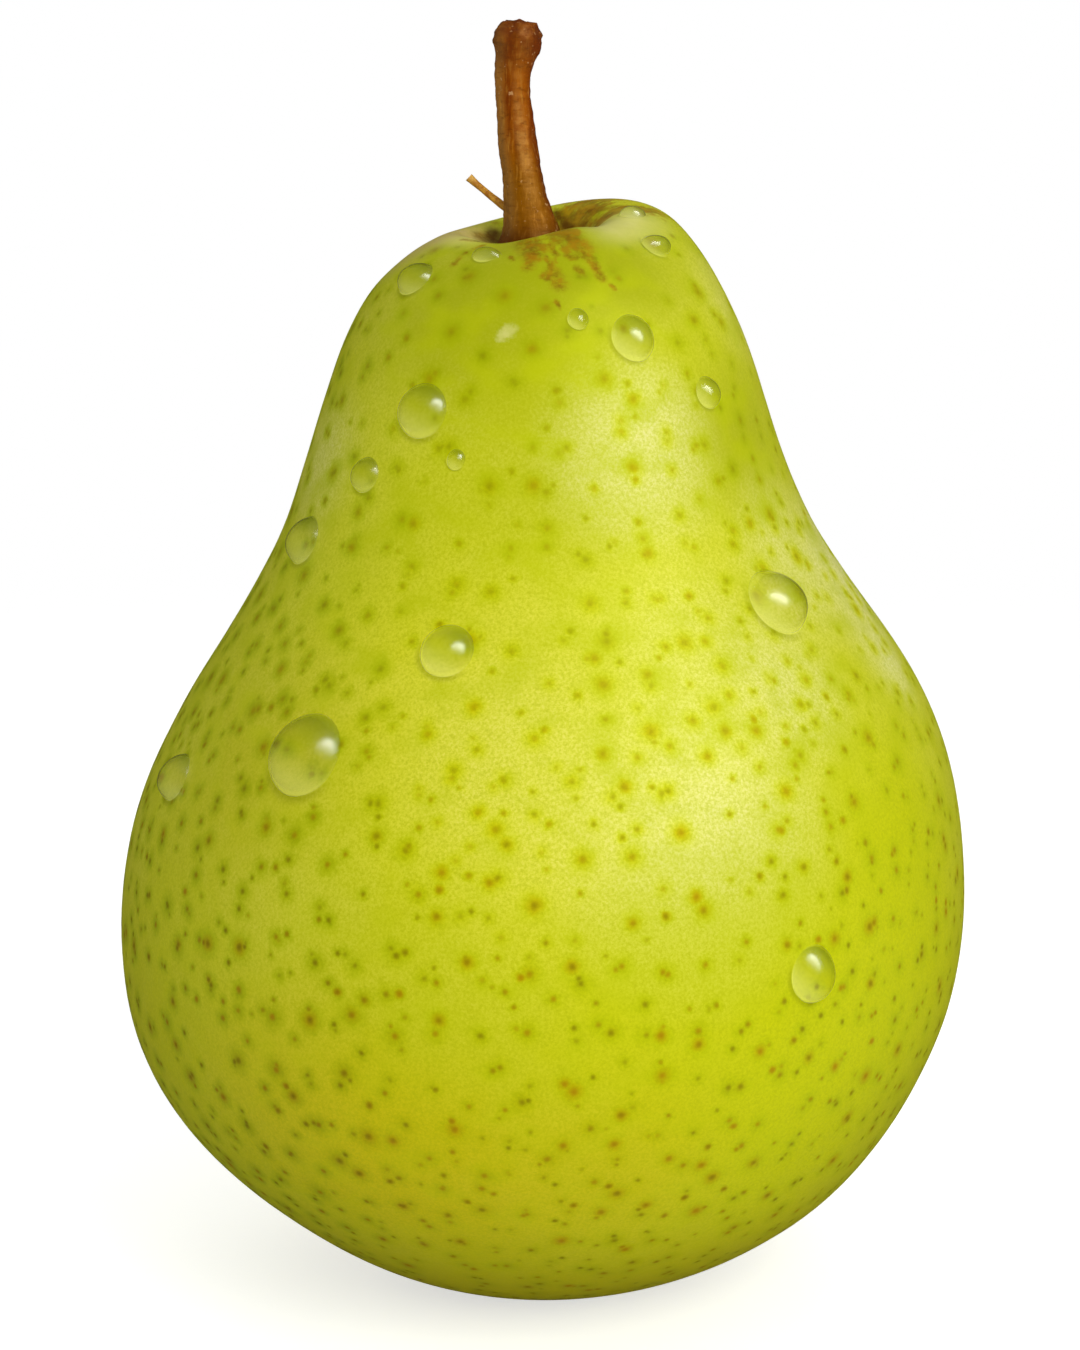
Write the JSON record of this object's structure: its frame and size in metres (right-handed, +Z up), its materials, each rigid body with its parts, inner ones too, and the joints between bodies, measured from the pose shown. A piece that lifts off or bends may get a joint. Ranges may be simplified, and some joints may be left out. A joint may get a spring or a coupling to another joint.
{
  "type": "pear",
  "caption": "Whole green pear standing on its foot, with a woody stem, a leaf-stalk stub and a dried flower in the basin of its foot.",
  "frame": {"origin": "on the surface the pear rests on, under the middle of the body", "axes": "+Z up through the stem end, -Y towards the side of the low rim of the stem cavity, +X towards its high rim"},
  "size_m": [0.0768, 0.0766, 0.1138],
  "materials": {
    "pear_skin": "satin",
    "stem_bark": "satin",
    "stalk_fibre": "matte",
    "dried_flower": "matte",
    "water": "gloss"
  },
  "bodies": {
    "root": {"fruit": "pear_skin", "stem": "stem_bark", "leaf_stalk": "stalk_fibre", "calyx_cup": "dried_flower", "sepal_1": "dried_flower", "sepal_2": "dried_flower", "sepal_3": "dried_flower", "sepal_4": "dried_flower", "sepal_5": "dried_flower"}
  },
  "joints": []
}
